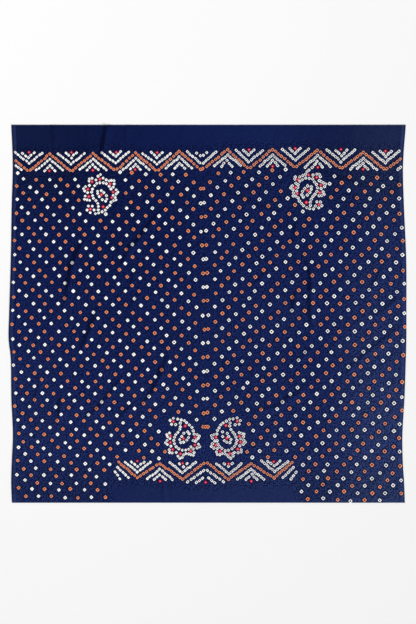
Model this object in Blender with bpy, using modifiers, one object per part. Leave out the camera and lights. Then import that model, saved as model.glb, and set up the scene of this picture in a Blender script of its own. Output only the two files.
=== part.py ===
"""A cut length of bandhani: fine cotton, tied, dyed and laid out flat with its face up.

It is one sheet. The two ends were cut straight across, at +Y and -Y, and the two long
edges, at -X and +X, are the selvedges, drawn slightly in and out by the tying. The cloth
keeps low, soft ridges from being folded and handled, and it lies flat between them.

Metres, +Z up. The origin is on the surface under the cloth, below its middle, and +Y
runs to the end with the full-width border.
"""

import math
from collections import namedtuple

import bpy
import numpy as np
from mathutils import Vector
from mathutils.geometry import delaunay_2d_cdt

# The sheet
LENGTH = 1.02  # between the cut ends
NOMINAL_WIDTH = 1.068  # between the selvedges before the tying drew them in and out
LYING_WIDTH = 0.996  # the middle stretch, which lies right down on the surface
CLOTH_THICKNESS = 0.0015

# How far each selvedge lies from the middle, from the lower end to the upper one
Selvedge = namedtuple("Selvedge", "along left right")
SELVEDGES = (
    Selvedge(-0.510, 0.5285, 0.5325),
    Selvedge(-0.455, 0.5305, 0.5305),
    Selvedge(-0.400, 0.5290, 0.5270),
    Selvedge(-0.325, 0.5260, 0.5260),
    Selvedge(-0.225, 0.5300, 0.5320),
    Selvedge(-0.125, 0.5310, 0.5355),
    Selvedge(-0.065, 0.5370, 0.5370),
    Selvedge(0.015, 0.5350, 0.5370),
    Selvedge(0.150, 0.5310, 0.5365),
    Selvedge(0.290, 0.5290, 0.5300),
    Selvedge(0.400, 0.5260, 0.5275),
    Selvedge(0.510, 0.5300, 0.5350),
)
SELVEDGE_LIFT = 0.0022  # the side edges stand up a little, because they are woven tighter

# The ridges: each follows its path of (x, y) points in a smooth line. One that starts
# past a cut end runs off it at full height.
Ridge = namedtuple("Ridge", "name path width height")
RIDGES = (
    Ridge("upper_end", ((-0.276, 0.560), (-0.280, 0.510), (-0.288, 0.415)), 0.026, 0.0050),
    Ridge("left_long", ((-0.335, 0.215), (-0.358, 0.16), (-0.383, 0.056), (-0.395, -0.01)), 0.028, 0.0045),
    Ridge("left_slant", ((-0.105, 0.312), (-0.164, 0.245), (-0.218, 0.18), (-0.248, 0.11)), 0.030, 0.0045),
    Ridge("left_short", ((-0.202, 0.092), (-0.238, 0.030)), 0.026, 0.0026),
    Ridge("left_low", ((-0.303, 0.010), (-0.334, -0.063), (-0.357, -0.125)), 0.028, 0.0040),
    Ridge("low_inner", ((-0.106, -0.108), (-0.145, -0.187), (-0.177, -0.24), (-0.222, -0.272)), 0.030, 0.0045),
    Ridge("low_outer", ((-0.230, -0.163), (-0.280, -0.233), (-0.340, -0.286)), 0.030, 0.0042),
    Ridge("low_left", ((-0.398, -0.215), (-0.417, -0.297)), 0.026, 0.0028),
    Ridge("low_edge", ((-0.453, -0.170), (-0.463, -0.250)), 0.026, 0.0028),
    Ridge("right_long", ((0.265, 0.163), (0.274, 0.072), (0.282, -0.017), (0.297, -0.108)), 0.028, 0.0042),
    Ridge("right_inner", ((0.227, 0.064), (0.234, -0.018)), 0.026, 0.0026),
    Ridge("right_upper", ((0.018, 0.344), (0.098, 0.313), (0.133, 0.299), (0.205, 0.272)), 0.034, 0.0032),
    Ridge("right_top", ((0.325, 0.392), (0.390, 0.368), (0.448, 0.338)), 0.032, 0.0026),
    Ridge("right_edge", ((0.474, 0.124), (0.438, 0.048)), 0.032, 0.0028),
    Ridge("right_low", ((0.482, -0.05), (0.460, -0.07), (0.414, -0.106), (0.353, -0.166)), 0.032, 0.0045),
    Ridge("right_bottom", ((0.266, -0.180), (0.214, -0.227), (0.145, -0.257)), 0.030, 0.0040),
    Ridge("middle_fold", ((-0.012, 0.325), (-0.006, 0.020), (-0.005, -0.300)), 0.024, 0.0016),
)
RIDGE_RUN_OUT = 0.40  # the share of its length over which a ridge rises or dies away at each end
RIDGE_TIP = 0.5  # a ridge's width at its very ends, as a share of its full width

# The mesh
PATH_STEP = 0.003  # between the points that a smooth line is read at
STATION_STEP = 0.012  # between the rows of points across a ridge
LINES_PER_RIDGE = 7  # side by side, from one foot of a ridge over its crest to the other
EDGE_STEP = 0.034  # between the points along the edges
CREASED_EDGE_STEP = 0.006  # the same where a ridge runs off a cut end
FLAT_STEP = 0.083  # between the points where the cloth lies flat
RIDGE_GAP = 0.014  # a point of the flat keeps this far from a ridge's points
LEAST_GAP = 0.004  # a ridge's points keep this far from the cut ends

NAVY = (0.0130, 0.0230, 0.0900, 1.0)
COTTON_ROUGHNESS = 0.82


def smooth_line(points):
    """Points PATH_STEP apart on a Catmull-Rom curve through the given ones."""
    given = np.array(points, float)
    before, after = 2 * given[0] - given[1], 2 * given[-1] - given[-2]
    knots = np.vstack([before, given, after])
    line = []
    for a, b, c, d in zip(knots, knots[1:], knots[2:], knots[3:]):
        steps = max(2, math.ceil(np.linalg.norm(c - b) / PATH_STEP))
        t = np.linspace(0, 1, steps, endpoint=False)[:, None]
        line.append(
            0.5 * (2 * b + (c - a) * t + (2 * a - 5 * b + 4 * c - d) * t**2 + (3 * b - a - 3 * c + d) * t**3)
        )
    return np.vstack([*line, given[-1:]])


def selvedge_reach(y, side):
    """How far the left or right selvedge lies from the middle at each y."""
    line = smooth_line([(row.along, getattr(row, side)) for row in SELVEDGES])
    return np.interp(y, line[:, 0], line[:, 1])


def run_out(share_along):
    """A ridge's height as a share of its full height: it rises and dies away at its ends."""
    from_end = np.minimum(share_along, 1 - share_along) / RIDGE_RUN_OUT
    return np.sin(np.clip(from_end, 0, 1) * math.pi / 2)


def half_width(ridge, share_along):
    return ridge.width / 2 * (RIDGE_TIP + (1 - RIDGE_TIP) * run_out(share_along))


def ridge_height(points, ridge):
    """How high a ridge lifts the cloth at each point: a rounded crest between two feet."""
    line = smooth_line(ridge.path)
    apart = np.hypot(points[:, :1] - line[:, 0], points[:, 1:] - line[:, 1])
    share_along = apart.argmin(axis=1) / (len(line) - 1)
    across = np.clip(apart.min(axis=1) / half_width(ridge, share_along), 0, 1)
    return ridge.height * run_out(share_along) * (1 + np.cos(across * math.pi)) / 2


def ridges_height(points):
    return np.max([ridge_height(points, ridge) for ridge in RIDGES], axis=0)


def ridge_points(ridge):
    """Rows of points across a ridge, from foot to foot, so that mesh edges follow its crest."""
    line = smooth_line(ridge.path)
    length = np.linalg.norm(np.diff(line, axis=0), axis=1).sum()
    stations = np.linspace(0, 1, max(3, round(length / STATION_STEP)))
    at = np.round(stations * (len(line) - 1)).astype(int)
    along = np.gradient(line, axis=0)[at]
    along /= np.linalg.norm(along, axis=1)[:, None]
    square_to = np.column_stack([-along[:, 1], along[:, 0]])
    reach = half_width(ridge, stations)[:, None]
    offsets = np.linspace(-1, 1, LINES_PER_RIDGE)
    points = np.vstack([line[at] + offset * reach * square_to for offset in offsets])
    return points[np.abs(points[:, 1]) < LENGTH / 2 - LEAST_GAP]


def evenly(low, high, step):
    return np.linspace(low, high, round((high - low) / step) + 1)


def edge_points():
    """Points along the cut ends, closer where a ridge runs off, and down the four side lines."""
    side_lines = [side * width / 2 for width in (NOMINAL_WIDTH, LYING_WIDTH) for side in (-1, 1)]
    points = [(x, y) for x in side_lines for y in evenly(-LENGTH / 2, LENGTH / 2, EDGE_STEP)]
    for end in (-LENGTH / 2, LENGTH / 2):
        close = [(x, end) for x in evenly(-LYING_WIDTH / 2, LYING_WIDTH / 2, CREASED_EDGE_STEP)]
        lifted = ridges_height(np.array(close)) > 0
        beside = np.convolve(lifted, (1, 1, 1), "same") > 0
        points += [point for point, kept in zip(close, beside) if kept]
    return np.unique(points, axis=0)


def flat_points():
    """A plain grid over the middle stretch, out to the cut ends."""
    x = evenly(-LYING_WIDTH / 2 + FLAT_STEP, LYING_WIDTH / 2 - FLAT_STEP, FLAT_STEP)
    y = evenly(-LENGTH / 2, LENGTH / 2, FLAT_STEP)
    return np.stack(np.meshgrid(x, y), axis=-1).reshape(-1, 2)


def clear_of(points, ridges):
    """The points that keep RIDGE_GAP from the points of the ridges."""
    apart = np.hypot(points[:, :1] - ridges[:, 0], points[:, 1:] - ridges[:, 1])
    return points[apart.min(axis=1) > RIDGE_GAP]


def laid_out(nominal):
    """Where the underside of each point of the straight-sided cloth lies once it is laid out."""
    side, y = np.sign(nominal[:, 0]), nominal[:, 1]
    from_middle, lying = np.abs(nominal[:, 0]), LYING_WIDTH / 2
    share_out = np.clip((from_middle - lying) / (NOMINAL_WIDTH / 2 - lying), 0, 1)
    reach = np.where(side < 0, selvedge_reach(y, "left"), selvedge_reach(y, "right"))
    x = side * (np.minimum(from_middle, lying) + share_out * (reach - lying))
    z = np.maximum(ridges_height(nominal), SELVEDGE_LIFT * share_out)
    return np.column_stack([x, y, z])


def dyed_cotton():
    material = bpy.data.materials.new("dyed_cotton")
    material.use_nodes = True
    shader = material.node_tree.nodes["Principled BSDF"]
    shader.inputs["Base Color"].default_value = NAVY
    shader.inputs["Roughness"].default_value = COTTON_ROUGHNESS
    shader.inputs["Metallic"].default_value = 0.0
    return material


def make_cloth(collection):
    """One closed sheet: its underside as laid, with the cloth's thickness on top of it."""
    raised = np.vstack([ridge_points(ridge) for ridge in RIDGES])
    edges = edge_points()
    flat = clear_of(flat_points(), raised)
    nominal = [Vector(point) for point in np.vstack([edges, raised, flat])]
    corners, _, faces, *_ = delaunay_2d_cdt(nominal, [], [], 0, LEAST_GAP / 10)
    mesh = bpy.data.meshes.new("bandhani_cloth")
    mesh.from_pydata(laid_out(np.array(corners)).tolist(), [], faces)
    mesh.materials.append(dyed_cotton())
    cloth = bpy.data.objects.new("bandhani_cloth", mesh)
    collection.objects.link(cloth)
    thickness = cloth.modifiers.new("cloth_thickness", "SOLIDIFY")
    thickness.thickness = CLOTH_THICKNESS
    thickness.offset = 1.0
    return cloth


for old in list(bpy.data.objects):
    bpy.data.objects.remove(old, do_unlink=True)
fabric = bpy.data.collections.new("bandhani_fabric")
bpy.context.scene.collection.children.link(fabric)
make_cloth(fabric)
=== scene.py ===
"""A cut length of bandhani, laid out flat: fine cotton with some two thousand tied dots.

First comes the table, and then the cloth: how it lies, where each knot was tied (the
field, the two borders and the four paisleys), the sheet itself with a pucker at every
knot, and the dyes. Metres, +Z up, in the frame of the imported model.
"""

import math
from collections import namedtuple

import bpy
import numpy as np
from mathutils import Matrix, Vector, kdtree, noise
from mathutils.geometry import delaunay_2d_cdt


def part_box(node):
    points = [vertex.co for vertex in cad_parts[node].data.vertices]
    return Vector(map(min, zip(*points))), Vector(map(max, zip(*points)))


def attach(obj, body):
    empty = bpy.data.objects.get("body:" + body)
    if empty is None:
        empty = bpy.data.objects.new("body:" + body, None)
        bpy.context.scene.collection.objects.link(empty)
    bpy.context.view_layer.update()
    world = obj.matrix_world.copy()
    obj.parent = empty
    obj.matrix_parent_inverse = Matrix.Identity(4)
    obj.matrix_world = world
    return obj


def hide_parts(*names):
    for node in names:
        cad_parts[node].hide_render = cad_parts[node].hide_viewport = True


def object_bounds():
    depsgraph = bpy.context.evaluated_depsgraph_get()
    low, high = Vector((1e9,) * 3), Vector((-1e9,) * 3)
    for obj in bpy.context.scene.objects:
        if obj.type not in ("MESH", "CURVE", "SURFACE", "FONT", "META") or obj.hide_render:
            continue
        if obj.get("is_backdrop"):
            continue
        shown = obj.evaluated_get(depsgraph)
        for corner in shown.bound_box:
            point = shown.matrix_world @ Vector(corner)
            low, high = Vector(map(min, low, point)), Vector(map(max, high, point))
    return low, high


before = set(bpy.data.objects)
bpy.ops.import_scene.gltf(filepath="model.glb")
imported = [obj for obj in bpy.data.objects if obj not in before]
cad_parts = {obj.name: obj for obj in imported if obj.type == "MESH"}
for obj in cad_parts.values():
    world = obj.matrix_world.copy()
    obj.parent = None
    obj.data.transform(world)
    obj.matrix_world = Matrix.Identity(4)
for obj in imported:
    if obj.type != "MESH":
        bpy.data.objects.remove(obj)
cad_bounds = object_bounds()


# ---- The table -----------------------------------------------------------------------
# A plain, nearly white top that the cloth is laid on. It isn't part of the cloth, and it
# lies a hair lower than the cloth's lowest points.

TABLE_SIZE = 12.0
TABLE_DROP = 0.0004
TABLE_PAINT = {"Base Color": (0.90, 0.90, 0.90, 1), "Roughness": 0.9, "Specular IOR Level": 0.1}


def plain_finish(name, values):
    """A material whose shader's own sockets are set to plain values."""
    material = bpy.data.materials.new(name)
    material.use_nodes = True
    for label, value in values.items():
        material.node_tree.nodes["Principled BSDF"].inputs[label].default_value = value
    return material


half_table = TABLE_SIZE / 2
table_corners = [
    (x * half_table, y * half_table, -TABLE_DROP) for x, y in ((-1, -1), (1, -1), (1, 1), (-1, 1))
]
table_mesh = bpy.data.meshes.new("table_top")
table_mesh.from_pydata(table_corners, [], [(0, 1, 2, 3)])
table = bpy.data.objects.new("table_top", table_mesh)
bpy.context.scene.collection.objects.link(table)
table_mesh.materials.append(plain_finish("table_paint", TABLE_PAINT))
table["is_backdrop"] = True


# ---- How the cloth lies --------------------------------------------------------------
# One cut length of fine plain-woven cotton, its two ends cut straight and its two long
# edges left as woven selvedges, which the tying drew in and out. It was tied folded in
# half, so a faint fold runs down its middle, and soft ridges are left from handling.

low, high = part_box("bandhani_cloth")
END = (high[1] - low[1]) / 2
HALF_WIDTH = 0.534

Selvedge = namedtuple("Selvedge", "along left right")
SELVEDGES = (
    Selvedge(-0.510, 0.5280, 0.5325),
    Selvedge(-0.455, 0.5299, 0.5305),
    Selvedge(-0.400, 0.5284, 0.5270),
    Selvedge(-0.325, 0.5254, 0.5260),
    Selvedge(-0.225, 0.5297, 0.5317),
    Selvedge(-0.125, 0.5310, 0.5351),
    Selvedge(-0.065, 0.5370, 0.5366),
    Selvedge(0.015, 0.5350, 0.5367),
    Selvedge(0.150, 0.5311, 0.5362),
    Selvedge(0.290, 0.5286, 0.5301),
    Selvedge(0.400, 0.5257, 0.5276),
    Selvedge(0.510, 0.5297, 0.5351),
)

# A ridge's path runs along its steep side, nearer the foot than the crest, with the gentle
# side on the left of the path; the first seventeen are the large ones of the CAD model
Ridge = namedtuple("Ridge", "name path steep gentle height")
RIDGES = (
    Ridge(
        "upper_end",
        ((-0.276, 0.560), (-0.278, 0.510), (-0.287, 0.437), (-0.291, 0.410)),
        0.010, 0.017, 0.0102,
    ),
    Ridge(
        "left_long",
        ((-0.336, 0.212), (-0.348, 0.186), (-0.370, 0.128),
         (-0.378, 0.091), (-0.385, 0.058), (-0.394, 0.006)),
        0.011, 0.018, 0.0118,
    ),
    Ridge(
        "left_slant",
        ((-0.111, 0.300), (-0.158, 0.247), (-0.195, 0.197),
         (-0.217, 0.180), (-0.228, 0.150), (-0.256, 0.108)),
        0.010, 0.017, 0.0066,
    ),
    Ridge("left_short", ((-0.202, 0.122), (-0.208, 0.095), (-0.220, 0.052)), 0.010, 0.014, 0.0043),
    Ridge(
        "left_low",
        ((-0.296, 0.023), (-0.305, 0.004), (-0.322, -0.036), (-0.336, -0.070), (-0.356, -0.117)),
        0.011, 0.016, 0.0083,
    ),
    Ridge(
        "low_inner",
        ((-0.109, -0.104), (-0.116, -0.121), (-0.131, -0.158), (-0.150, -0.199), (-0.184, -0.250)),
        0.012, 0.019, 0.0095,
    ),
    Ridge(
        "low_outer",
        ((-0.232, -0.157), (-0.258, -0.198), (-0.283, -0.232), (-0.312, -0.262), (-0.341, -0.285)),
        0.010, 0.017, 0.0051,
    ),
    Ridge(
        "low_left",
        ((-0.397, -0.215), (-0.401, -0.240), (-0.408, -0.280), (-0.411, -0.297)),
        0.009, 0.013, 0.0072,
    ),
    Ridge(
        "low_edge",
        ((-0.451, -0.160), (-0.457, -0.179), (-0.468, -0.219), (-0.467, -0.246)),
        0.011, 0.012, 0.0054,
    ),
    Ridge(
        "right_long",
        ((0.252, 0.176), (0.267, 0.127), (0.273, 0.091),
         (0.271, 0.024), (0.274, -0.012), (0.288, -0.062)),
        0.011, 0.015, 0.0100,
    ),
    Ridge(
        "right_inner",
        ((0.232, 0.062), (0.230, 0.040), (0.225, 0.010), (0.224, -0.008)),
        0.009, 0.012, 0.0101,
    ),
    Ridge(
        "right_upper",
        ((0.216, 0.275), (0.196, 0.283), (0.139, 0.297),
         (0.109, 0.310), (0.048, 0.340), (0.019, 0.355)),
        0.016, 0.019, 0.0063,
    ),
    Ridge(
        "right_top",
        ((0.470, 0.330), (0.398, 0.359), (0.340, 0.377), (0.310, 0.395)),
        0.013, 0.019, 0.0048,
    ),
    Ridge(
        "right_edge",
        ((0.474, 0.137), (0.461, 0.117), (0.433, 0.066), (0.424, 0.049)),
        0.012, 0.015, 0.0042,
    ),
    Ridge(
        "right_low",
        ((0.532, -0.017), (0.492, -0.048), (0.465, -0.071),
         (0.396, -0.126), (0.376, -0.152), (0.350, -0.190)),
        0.012, 0.024, 0.0055,
    ),
    Ridge(
        "right_bottom",
        ((0.272, -0.175), (0.263, -0.191), (0.209, -0.228),
         (0.182, -0.245), (0.148, -0.252), (0.118, -0.267)),
        0.012, 0.017, 0.0060,
    ),
    Ridge("middle_fold", ((-0.012, 0.325), (-0.006, 0.020), (-0.005, -0.300)), 0.009, 0.008, 0.0009),
    Ridge(
        "upright_short",
        ((0.236, 0.250), (0.231, 0.232), (0.227, 0.194), (0.230, 0.182)),
        0.010, 0.012, 0.0074,
    ),
    Ridge(
        "slant_small",
        ((0.167, 0.125), (0.156, 0.115), (0.129, 0.088), (0.121, 0.077)),
        0.009, 0.011, 0.0040,
    ),
    Ridge("slant_left", ((-0.181, 0.074), (-0.199, 0.038), (-0.217, 0.008)), 0.008, 0.011, 0.0033),
    Ridge(
        "low_inner_foot",
        ((-0.202, -0.237), (-0.224, -0.259), (-0.245, -0.281)),
        0.011, 0.014, 0.0049,
    ),
    Ridge(
        "edge_low",
        ((0.519, 0.055), (0.502, 0.041), (0.471, 0.015), (0.443, -0.005)),
        0.012, 0.016, 0.0048,
    ),
    Ridge("edge_high", ((0.499, 0.194), (0.429, 0.123), (0.349, 0.053)), 0.009, 0.014, 0.0012),
    Ridge("right_foot", ((0.285, -0.081), (0.260, -0.105), (0.234, -0.130)), 0.012, 0.011, 0.0042),
    Ridge("right_join", ((0.322, -0.145), (0.302, -0.162), (0.287, -0.180)), 0.008, 0.011, 0.0018),
    Ridge(
        "corner_a",
        ((0.531, -0.067), (0.488, -0.120), (0.429, -0.164), (0.375, -0.223), (0.306, -0.285)),
        0.012, 0.023, 0.0020,
    ),
    Ridge(
        "corner_b",
        ((0.535, -0.151), (0.487, -0.191), (0.425, -0.267), (0.385, -0.301)),
        0.012, 0.023, 0.0015,
    ),
    Ridge(
        "corner_c",
        ((0.528, -0.230), (0.448, -0.295), (0.398, -0.350), (0.350, -0.391)),
        0.012, 0.023, 0.0013,
    ),
    Ridge("corner_d", ((0.512, -0.378), (0.457, -0.440), (0.414, -0.488)), 0.012, 0.020, 0.0032),
    Ridge("corner_e", ((0.398, -0.416), (0.364, -0.456), (0.332, -0.496)), 0.010, 0.017, 0.0020),
    Ridge("band_a", ((-0.418, 0.560), (-0.420, 0.500), (-0.418, 0.440)), 0.009, 0.023, 0.0035),
    Ridge("band_b", ((-0.381, 0.560), (-0.382, 0.500), (-0.380, 0.450)), 0.008, 0.014, 0.0009),
    Ridge("band_c", ((-0.327, 0.560), (-0.330, 0.500), (-0.331, 0.450)), 0.009, 0.014, 0.0009),
    Ridge("band_d", ((-0.226, 0.560), (-0.227, 0.500), (-0.224, 0.455)), 0.010, 0.014, 0.0025),
    Ridge("band_e", ((-0.193, 0.559), (-0.187, 0.499), (-0.165, 0.449)), 0.009, 0.014, 0.0013),
    Ridge("band_f", ((-0.074, 0.560), (-0.073, 0.500), (-0.072, 0.450)), 0.008, 0.016, 0.0011),
    Ridge("band_g", ((0.085, 0.560), (0.086, 0.500), (0.088, 0.455)), 0.009, 0.023, 0.0010),
    Ridge("band_h", ((0.250, 0.560), (0.250, 0.500), (0.247, 0.455)), 0.009, 0.023, 0.0008),
    Ridge("band_i", ((0.384, 0.560), (0.385, 0.500), (0.387, 0.450)), 0.009, 0.020, 0.0010),
    Ridge("band_j", ((0.480, 0.560), (0.481, 0.500), (0.479, 0.440)), 0.008, 0.014, 0.0010),
    Ridge("low_a", ((-0.122, -0.450), (-0.124, -0.490), (-0.123, -0.560)), 0.009, 0.012, 0.0024),
    Ridge("low_b", ((-0.050, -0.460), (-0.052, -0.500), (-0.050, -0.560)), 0.008, 0.011, 0.0004),
    Ridge("low_c", ((0.121, -0.465), (0.119, -0.500), (0.121, -0.560)), 0.009, 0.012, 0.0006),
)
PATH_DOWN = 0.75  # how far down its steep side a ridge's path runs, from the crest
RIDGE_RUN_OUT = 0.35  # the share of its length over which a ridge rises or dies away at each end
RIDGE_TIP = 0.5  # a ridge's width at its very ends, as a share of its full width
RIDGE_STRAY = 0.0024  # how far a ridge strays from its path, and the length of its bends
STRAY_LENGTH = 0.021
RIDGE_UNEVEN = 0.45  # and how much its height varies along it
STRAY_SEED, UNEVEN_SEED = 3.5, 8.5
PATH_STEP = 0.003

# A raised line and then a shallow trough run along each selvedge, where the weave tightens
EdgeLine = namedtuple("EdgeLine", "side inset width height")
EDGE_LINES = (
    EdgeLine(-1, 0.0075, 0.012, 0.0012),
    EdgeLine(-1, 0.0240, 0.012, 0.0005),
    EdgeLine(1, 0.0095, 0.012, 0.0012),
    EdgeLine(1, 0.0220, 0.010, 0.0004),
)
SELVEDGE_LIFT = 0.0016
SELVEDGE_BAND = 0.036  # the strip along each selvedge that stands up a little
RIM_BAND = 0.010  # but the very edge, all round, lies down on the surface
RIM_SHARE = 0.12

# The cloth is never quite flat: broad swells, and the finer crinkle left by the tying
Swell = namedtuple("Swell", "size height")
SWELLS = (Swell(0.140, 0.0010), Swell(0.045, 0.0005), Swell(0.018, 0.00022))


def eased(share):
    """0 to 1, slowly at both ends."""
    return share**2 * (3 - 2 * share)


def hump(across):
    """1 in the middle and 0 from -1 and 1 outwards, smoothly."""
    return (1 + np.cos(np.clip(across, -1, 1) * math.pi)) / 2


def smooth_line(points):
    """Points PATH_STEP apart on a Catmull-Rom curve through the given ones."""
    given = np.array(points, float)
    before, after = 2 * given[0] - given[1], 2 * given[-1] - given[-2]
    knots = np.vstack([before, given, after])
    line = []
    for a, b, c, d in zip(knots, knots[1:], knots[2:], knots[3:]):
        steps = max(2, math.ceil(np.linalg.norm(c - b) / PATH_STEP))
        t = np.linspace(0, 1, steps, endpoint=False)[:, None]
        square, cube = 2 * a - 5 * b + 4 * c - d, 3 * b - a - 3 * c + d
        line.append(0.5 * (2 * b + (c - a) * t + square * t**2 + cube * t**3))
    return np.vstack([*line, given[-1:]])


def selvedge_reach(y, side):
    """How far the left (-1) or right (1) selvedge lies from the middle at each y."""
    line = smooth_line([(row.along, row.left if side < 0 else row.right) for row in SELVEDGES])
    return np.interp(y, line[:, 0], line[:, 1])


def reach_at(x, y):
    return np.where(np.asarray(x) < 0, selvedge_reach(y, -1), selvedge_reach(y, 1))


def straightened(points):
    """Laid points moved to where they lie on a cloth with straight selvedges."""
    x, y = points[:, 0], points[:, 1]
    return np.column_stack([x * HALF_WIDTH / reach_at(x, y), y])


def laid_out(points):
    """The other way: from the straight-sided cloth to the one that lies on the surface."""
    x, y = points[:, 0], points[:, 1]
    return np.column_stack([x * reach_at(x, y) / HALF_WIDTH, y])


def run_out(share_along):
    """A ridge's height as a share of its full height: it rises and dies away at its ends."""
    from_end = np.minimum(share_along, 1 - share_along) / RIDGE_RUN_OUT
    return np.sin(np.clip(from_end, 0, 1) * math.pi / 2)


def narrowed(share_along):
    return RIDGE_TIP + (1 - RIDGE_TIP) * run_out(share_along)


def wavering(line, seed):
    return np.array([noise.noise((x / STRAY_LENGTH, y / STRAY_LENGTH, seed)) for x, y in line])


def ridge_line(ridge):
    """Close points along a ridge as it strays from its path, and the gentle side's direction."""
    line = smooth_line(ridge.path)
    along = np.gradient(line, axis=0)
    along /= np.linalg.norm(along, axis=1)[:, None]
    gentle_side = np.column_stack([-along[:, 1], along[:, 0]])
    return line + RIDGE_STRAY * wavering(line, STRAY_SEED)[:, None] * gentle_side, gentle_side


def ridge_height(points, ridge):
    """How high a ridge lifts the cloth: steep up to the crest, then gently down."""
    line, gentle_side = ridge_line(ridge)
    height = np.zeros(len(points))
    margin = ridge.steep + ridge.gentle
    within = (points > line.min(axis=0) - margin) & (points < line.max(axis=0) + margin)
    inside = within.all(axis=1)
    near = points[inside]
    apart = np.hypot(near[:, :1] - line[:, 0], near[:, 1:] - line[:, 1])
    nearest = apart.argmin(axis=1)
    share_along = nearest / (len(line) - 1)
    gently = ((near - line[nearest]) * gentle_side[nearest]).sum(axis=1)
    from_crest = np.copysign(apart.min(axis=1), gently) / narrowed(share_along) - PATH_DOWN * ridge.steep
    across = from_crest / np.where(from_crest < 0, ridge.steep, ridge.gentle)
    uneven = (1 + RIDGE_UNEVEN * wavering(line, UNEVEN_SEED))[nearest]
    crest = ridge.height * run_out(share_along) * uneven
    height[inside] = crest * hump(across)
    return height


def swell_height(points):
    height = np.zeros(len(points))
    for swell in SWELLS:
        spots = points / swell.size
        waves = np.array([noise.noise((x, y, swell.size)) for x, y in spots])
        height += swell.height * (0.5 + 0.5 * waves)
    return height


def laid_height(points):
    """How high the underside of the cloth lies above the surface at each laid point."""
    x, y = points[:, 0], points[:, 1]
    inset = reach_at(x, y) - np.abs(x)
    share = np.clip(1 - inset / SELVEDGE_BAND, 0, 1)
    height = np.max([ridge_height(points, ridge) for ridge in RIDGES], axis=0)
    height += SELVEDGE_LIFT * eased(share)
    for line in EDGE_LINES:
        across = (inset - line.inset) / (line.width / 2)
        height += np.where(x * line.side > 0, line.height * hump(across), 0)
    from_rim = np.clip(np.minimum(inset, END - np.abs(y)) / RIM_BAND, 0, 1)
    settled = RIM_SHARE + (1 - RIM_SHARE) * eased(from_rim)
    return (height + swell_height(points)) * settled


# ---- The knots of the field ----------------------------------------------------------
# Pinches of cloth, each bound round with thread before dyeing so that it stays undyed.
# They were tied through both halves at once, so the two sides mirror each other from the
# fold. Knots bound after the first dip stay orange, and a dab of dye makes them crimson.

WHITE, ORANGE, CRIMSON = 0.0, 1.0, 2.0
Knot = namedtuple("Knot", "x y dye size turn clear drawn")
KNOT_MARKS = Knot._fields[2:]  # what the dye has to know of a knot
knots = []
random = np.random.default_rng(27)

FIELD_SIZE = 0.0051  # from a dot's middle to its points
SIZE_SPREAD = 0.08  # how unequal the dots are
SIDE_GROWTH = 0.06  # they are larger at the right selvedge, and smaller at the left one
MEAN_GROWTH = 1.02  # what every size is multiplied by, halfway between them
TIED_HALF = 0.53  # how far out the growth to a side is complete
ROWS = 48
ROW_PITCH = 0.01882
COLUMNS = 29
CRIMSON_GROWTH = 1.07
LEAN = 0.14  # how far a dot may be turned, in radians either way
SHARED_SLIP = (0.0017, 0.0013)  # how far a knot strays from its place, across and along
SHARED_LIMIT = 0.0035  # at most
OWN_SLIP = (0.0011, 0.0009)  # and how far its two dots then lie from mirroring each other
OWN_LIMIT = 0.0022  # at most
FOLD_SHARED, FOLD_OWN = (0.3, 0.8), (0.9, 0.5)  # the shares of these that are left on the fold
KNOT_INSET = 0.004  # no knot was tied nearer than this to an edge
FOLD_PAIR = 0.0052  # from the fold to each dot of the pairs that sit on it
BAR_ROW = 36  # the last of them is a short bar of three
BAR_STEP = 0.0062

# Laying the cloth out pulled the two halves a little differently. Lengthwise, in metres:
# first_row is where the rows begin, climb how far they rise towards the selvedge,
# climb_arch how far they bend back down there, and low_climb how much more the last rows
# rise. Crosswise, as shares of the half: first_column and step set the columns, arch moves
# the middle ones out, and drift, draw and splay move them out, in and apart lower down.
Half = namedtuple(
    "Half", "side first_row first_column step arch drift draw splay climb climb_arch low_climb"
)
HALVES = (
    Half(-1, 0.3740, 0.0105, 0.0345, 0.041, 0.022, 0.051, 0.015, 0.019, 0.011, 0.013),
    Half(1, 0.3755, 0.0075, 0.0346, -0.006, 0.026, 0.046, 0.022, 0.042, 0.032, -0.007),
)
ROW_SAG = 0.008  # how far the middle rows lie below even spacing, times four
DRAW_AT_FOLD = 0.5  # the share of a half's draw that it has at the fold
FULLY_DRAWN = 0.25  # and how far out it has it all

FOLD_X = -0.0055
FOLD_LEAN = 0.0105
FOLD_LEAN_END = 0.42  # how far up the lean is complete

# Dots further to the right were bound round a peg, which left a clear dark middle
CLEAR_FROM, CLEAR_RUN = -0.20, 0.28  # where this begins, and over what distance it grows
CLEAR_LEAST, CLEAR_GAIN = 0.62, 0.42  # how dark the middle is before it, and how much more after
CLEAR_SPREAD = (-0.22, 0.12)  # how unequal they are
WHITE_CLEARER = 1.1


def fold_x(y):
    """The fold leans a little to the left in the upper part of the cloth."""
    return FOLD_X - FOLD_LEAN * eased(np.clip(y / FOLD_LEAN_END, 0, 1))


def across(half, share, y):
    """The x of a place that far from the fold (0) towards that half's selvedge (1)."""
    fold = fold_x(y)
    return fold + share * (half.side * selvedge_reach(y, half.side) - fold)


def field_place(half, column, row):
    out = column / (COLUMNS - 1)
    down = row / (ROWS - 1)
    share = half.first_column + half.step * column + half.arch * out * (1 - out)
    drawn_in = DRAW_AT_FOLD + (1 - DRAW_AT_FOLD) * min(1, out / FULLY_DRAWN)
    share += half.drift * down - half.draw * down**2 * drawn_in + half.splay * out * down
    y = half.first_row - ROW_PITCH * row - ROW_SAG * down * (1 - down)
    y += half.climb * out - half.climb_arch * out**2 + half.low_climb * out * down
    if column == 0:
        return fold_x(y) + half.side * FOLD_PAIR, y
    return across(half, share, y), y


def clearness(x):
    share = np.clip((x - CLEAR_FROM) / CLEAR_RUN, 0, 1)
    return CLEAR_LEAST + CLEAR_GAIN * share + random.uniform(*CLEAR_SPREAD)


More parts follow.
